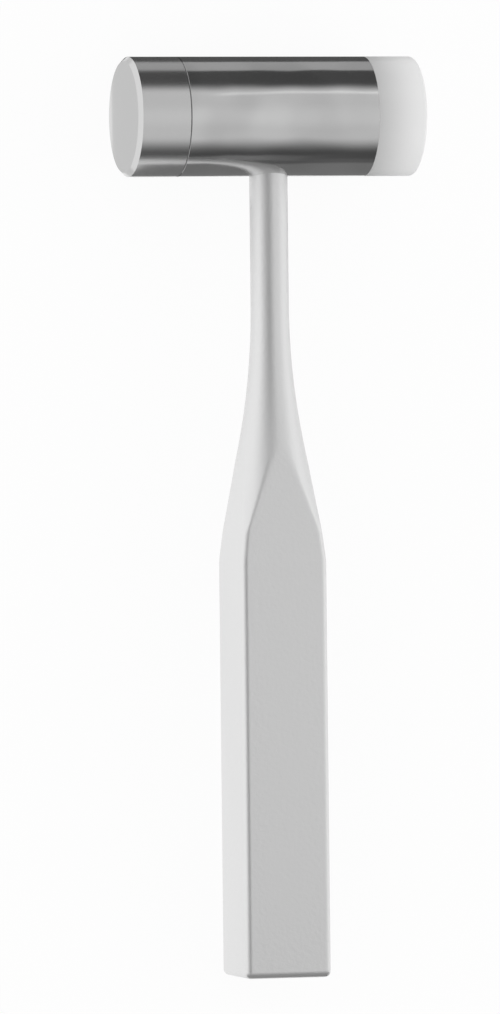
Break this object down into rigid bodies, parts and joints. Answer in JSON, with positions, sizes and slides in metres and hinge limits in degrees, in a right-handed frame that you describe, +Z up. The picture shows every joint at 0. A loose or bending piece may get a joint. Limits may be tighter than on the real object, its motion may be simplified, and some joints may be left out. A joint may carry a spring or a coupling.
{
  "type": "surgical mallet",
  "caption": "Surgical mallet with a cylindrical steel head, a steel and a plastic striking face, and a square-gripped steel handle.",
  "frame": {"origin": "centre of the bounding box of the whole mallet at the height of the table it lies on", "axes": "+Z up from the table, +Y from the grip's end towards the head, +X along the head's axis from the steel striking face to the plastic one"},
  "size_m": [0.0624, 0.192, 0.025],
  "materials": {
    "polished_steel": "polished stainless steel",
    "turned_steel": "finely turned stainless steel, satin face",
    "white_plastic": "white translucent plastic, fine satin",
    "satin_steel": "satin blasted stainless steel"
  },
  "bodies": {
    "root": {"head_body": "polished_steel", "steel_face": "turned_steel", "plastic_face": "white_plastic", "handle": "satin_steel"}
  },
  "joints": []
}
